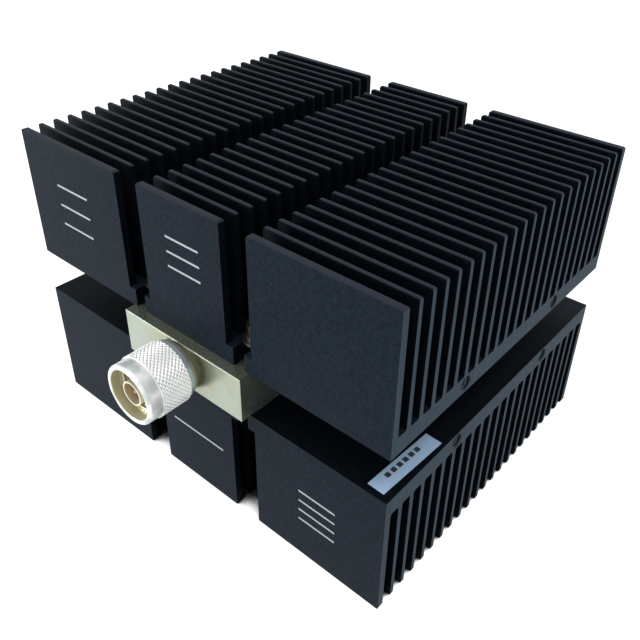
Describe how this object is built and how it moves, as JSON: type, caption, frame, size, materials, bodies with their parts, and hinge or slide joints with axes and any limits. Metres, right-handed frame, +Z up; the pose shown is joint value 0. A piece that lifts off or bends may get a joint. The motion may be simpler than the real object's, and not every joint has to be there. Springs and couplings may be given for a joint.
{
  "type": "coaxial termination",
  "caption": "Heat-sunk coaxial load: two finned heat sinks clamped on a metal block, with a knurled male coaxial connector on the block's front.",
  "frame": {"origin": "middle of the resting face, on the tips of the lower fins, midway between the front and the rear face of the heat sinks", "axes": "+Z up, -Y out of the connector, +X to the right seen from the connector's side"},
  "size_m": [0.1524, 0.1453, 0.1079],
  "materials": {
    "black_anodised": "satin",
    "plated_block": "satin",
    "silver_plated_brass": "satin",
    "gold_plated_brass": "polished",
    "steel": "satin",
    "spring_steel": "satin",
    "white_plastic": "matte",
    "gasket_rubber": "matte",
    "copper": "satin",
    "ceramic": "matte",
    "silver_foil": "satin",
    "label_film": "satin"
  },
  "bodies": {
    "body": {"lower_sink": "black_anodised", "upper_sink": "black_anodised", "block": "plated_block", "cavity_lid": "plated_block", "lid_screws": "steel", "resistor_flange": "copper", "resistor_chip": "ceramic", "resistor_cap": "ceramic", "resistor_tab": "silver_foil", "resistor_screws": "steel", "connector_shell": "silver_plated_brass", "retaining_ring": "spring_steel", "gasket": "gasket_rubber", "bead": "white_plastic", "contact_pin": "gold_plated_brass", "lower_screws": "steel", "lower_lock_washers": "spring_steel", "lower_washers": "steel", "upper_screws": "steel", "upper_lock_washers": "spring_steel", "upper_washers": "steel", "serial_label": "label_film"},
    "nut": {"coupling_nut": "silver_plated_brass"}
  },
  "joints": [
    {"name": "nut_spin", "type": "hinge", "parent": "body", "child": "nut", "pos_m": [0, -0.0755, 0.05395], "axis": [0, -1, 0], "continuous": true}
  ]
}
